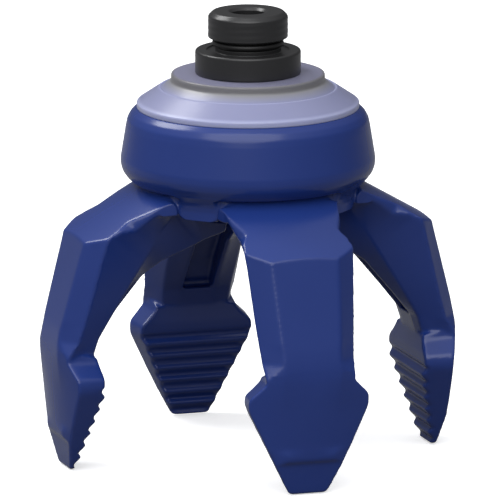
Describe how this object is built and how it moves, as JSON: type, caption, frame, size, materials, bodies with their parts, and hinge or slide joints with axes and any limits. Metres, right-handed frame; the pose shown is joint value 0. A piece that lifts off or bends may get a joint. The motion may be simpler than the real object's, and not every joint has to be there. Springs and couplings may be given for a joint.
{
  "type": "soft vacuum gripper",
  "caption": "Vacuum-driven soft gripper with silicone fingers around a suction chamber and a threaded port; the fingers curl inwards when air is drawn out.",
  "frame": {"origin": "centre of the port, level with the flange's top shoulder, which a threaded seat meets", "axes": "+Z out of the thread, away from the fingers; the four fingers lie along +X, +Y, -X and -Y"},
  "size_m": [0.0874, 0.0874, 0.0942],
  "materials": {
    "fitting_plastic": "turned black, satin",
    "seal_rubber": "smooth, black",
    "clear_silicone": "translucent lavender, satin",
    "blue_silicone": "moulded deep blue, semi-gloss"
  },
  "bodies": {
    "root": {"fitting": "fitting_plastic", "o_ring": "seal_rubber", "lid": "clear_silicone", "collar": "blue_silicone", "chamber_floor": "blue_silicone"},
    "finger_right": {"finger_right": "blue_silicone"},
    "finger_back": {"finger_back": "blue_silicone"},
    "finger_left": {"finger_left": "blue_silicone"},
    "finger_front": {"finger_front": "blue_silicone"}
  },
  "joints": [
    {"name": "curl_right", "type": "hinge", "parent": "root", "child": "finger_right", "pos_m": [0.0222, 0, -0.03082], "axis": [0, 1, 0], "range_deg": [0, 25], "stiffness_Nm_per_rad": 0.5, "deforming": ["chamber_floor"]},
    {"name": "curl_back", "type": "hinge", "parent": "root", "child": "finger_back", "pos_m": [0, 0.0222, -0.03082], "axis": [-1, 0, 0], "range_deg": [0, 25], "stiffness_Nm_per_rad": 0.5},
    {"name": "curl_left", "type": "hinge", "parent": "root", "child": "finger_left", "pos_m": [-0.0222, 0, -0.03082], "axis": [0, -1, 0], "range_deg": [0, 25], "stiffness_Nm_per_rad": 0.5},
    {"name": "curl_front", "type": "hinge", "parent": "root", "child": "finger_front", "pos_m": [0, -0.0222, -0.03082], "axis": [1, 0, 0], "range_deg": [0, 25], "stiffness_Nm_per_rad": 0.5}
  ],
  "couplings": [
    {"joint": "curl_back", "follows": "curl_right", "ratio": 1},
    {"joint": "curl_left", "follows": "curl_right", "ratio": 1},
    {"joint": "curl_front", "follows": "curl_right", "ratio": 1}
  ]
}
